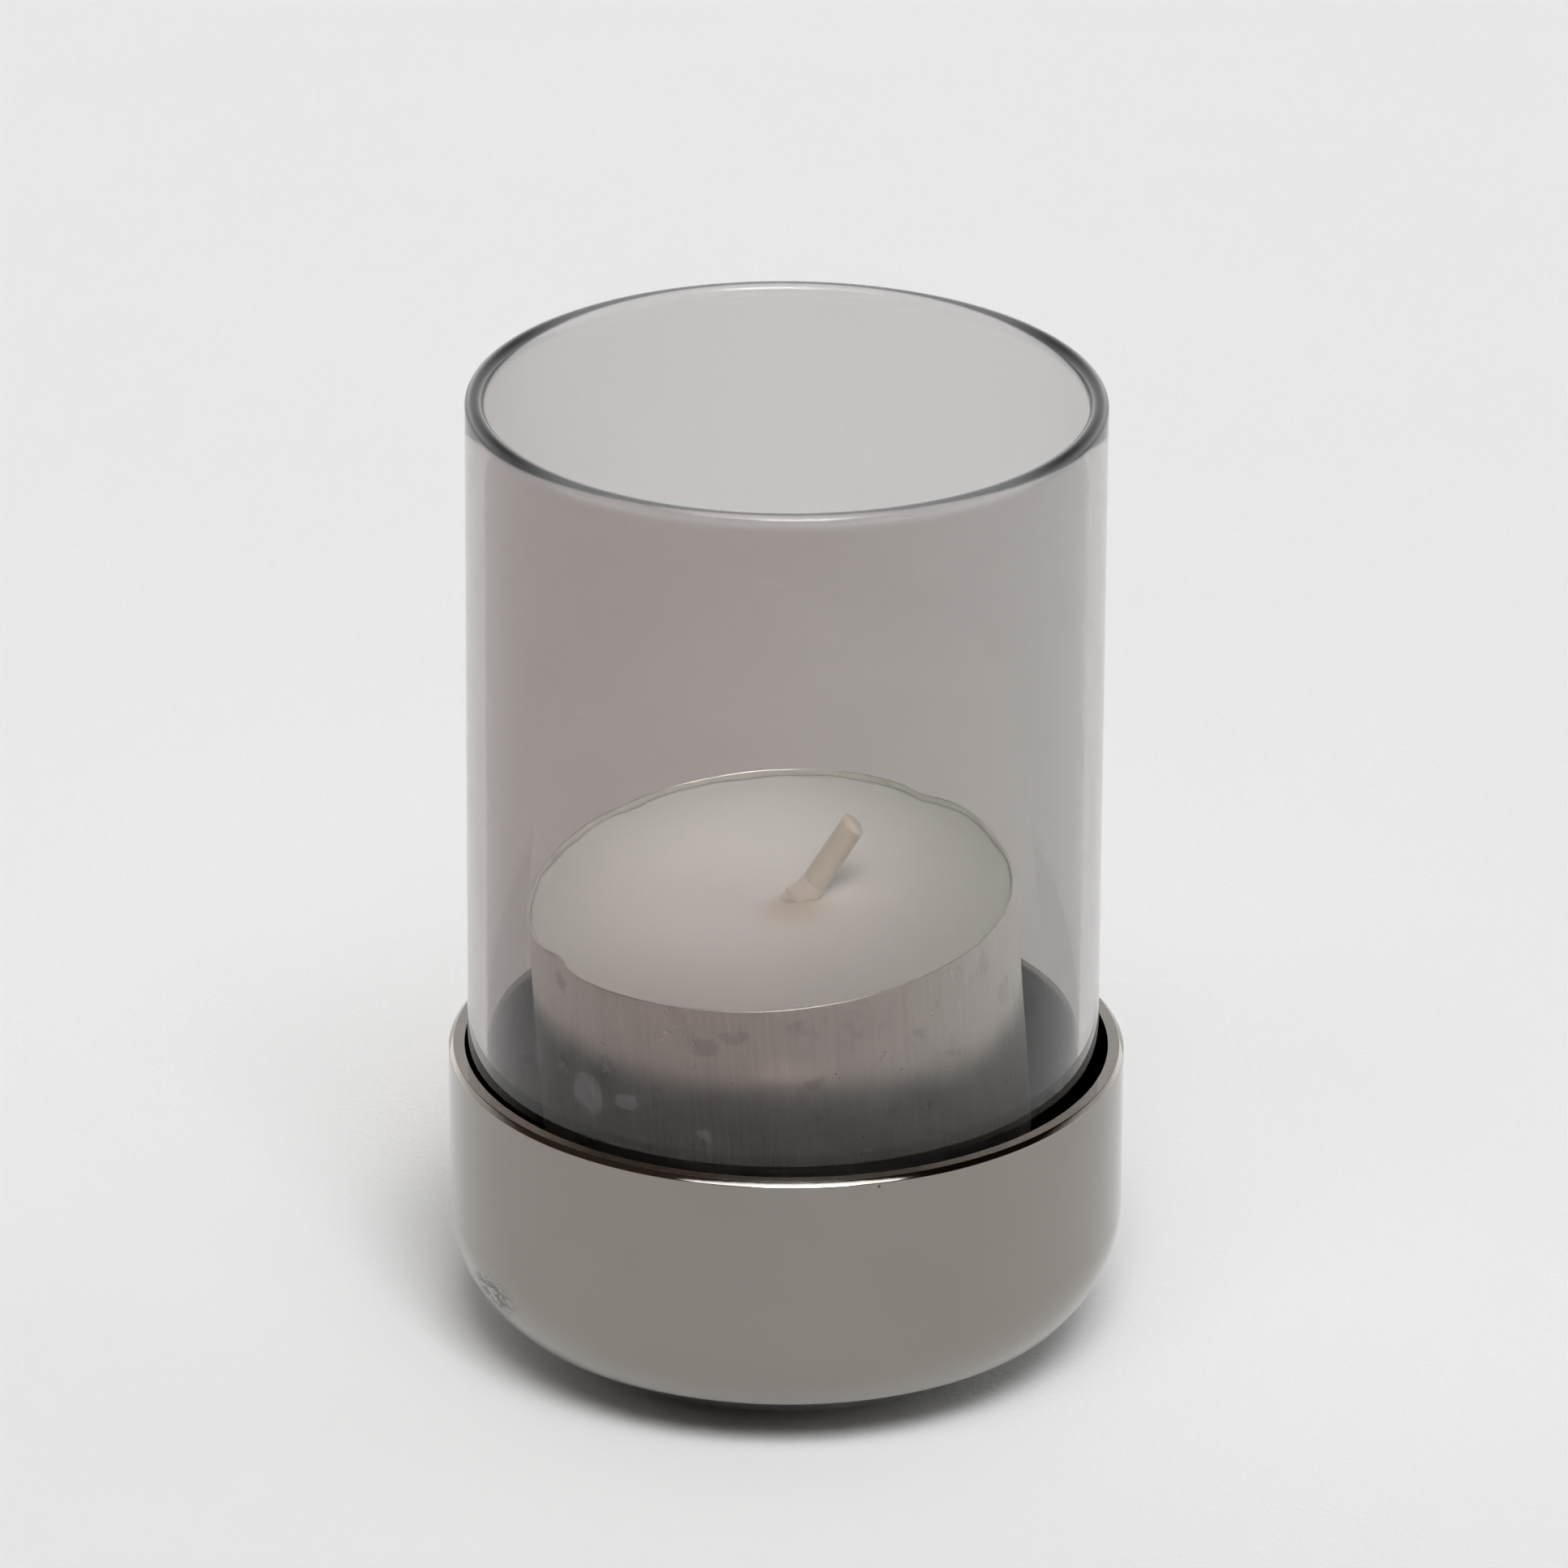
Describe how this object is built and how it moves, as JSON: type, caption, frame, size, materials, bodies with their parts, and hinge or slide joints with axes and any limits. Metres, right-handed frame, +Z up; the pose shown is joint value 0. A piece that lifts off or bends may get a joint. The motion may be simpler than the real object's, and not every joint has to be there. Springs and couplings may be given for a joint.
{
  "type": "tealight holder",
  "caption": "Round weighted metal cup with a rounded lower edge, holding a straight smoked glass cylinder with a tealight inside it.",
  "frame": {"origin": "centre of the foot pad's underside, on the table", "axes": "+Z up along the cup's axis, -Y towards the viewer, +X to the viewer's right"},
  "size_m": [0.0536, 0.0536, 0.0802],
  "materials": {
    "foot_rubber": "matt black foam rubber",
    "base_metal": "polished black nickel, mirror bright, with a fine bright chamfer",
    "ballast_iron": "as cast",
    "seat_felt": "black felt",
    "smoked_glass": "clear smoke grey, fire-polished lip",
    "foil": "drawn foil with vertical draw lines",
    "wax": "translucent white wax",
    "wick": "braided cotton soaked in wax",
    "tin": "bright tinplate"
  },
  "bodies": {
    "base": {"base_cup": "base_metal", "foot_pad": "foot_rubber", "ballast_weight": "ballast_iron"},
    "seat": {"seat_pad": "seat_felt"},
    "glass": {"glass_cylinder": "smoked_glass"},
    "tealight": {"tealight_cup": "foil", "tealight_wax": "wax", "tealight_wick": "wick", "wick_sustainer": "tin"}
  },
  "joints": [
    {"name": "glass_turn", "type": "hinge", "parent": "base", "child": "seat", "pos_m": [-0.00026, 0, 0.0074], "axis": [0, 0, 1], "continuous": true},
    {"name": "glass_lift", "type": "slide", "parent": "seat", "child": "glass", "axis": [0, 0, 1], "range_m": [0, 0.03]},
    {"name": "tealight_lift", "type": "slide", "parent": "glass", "child": "tealight", "axis": [0, 0, 1], "range_m": [0, 0.075]}
  ]
}
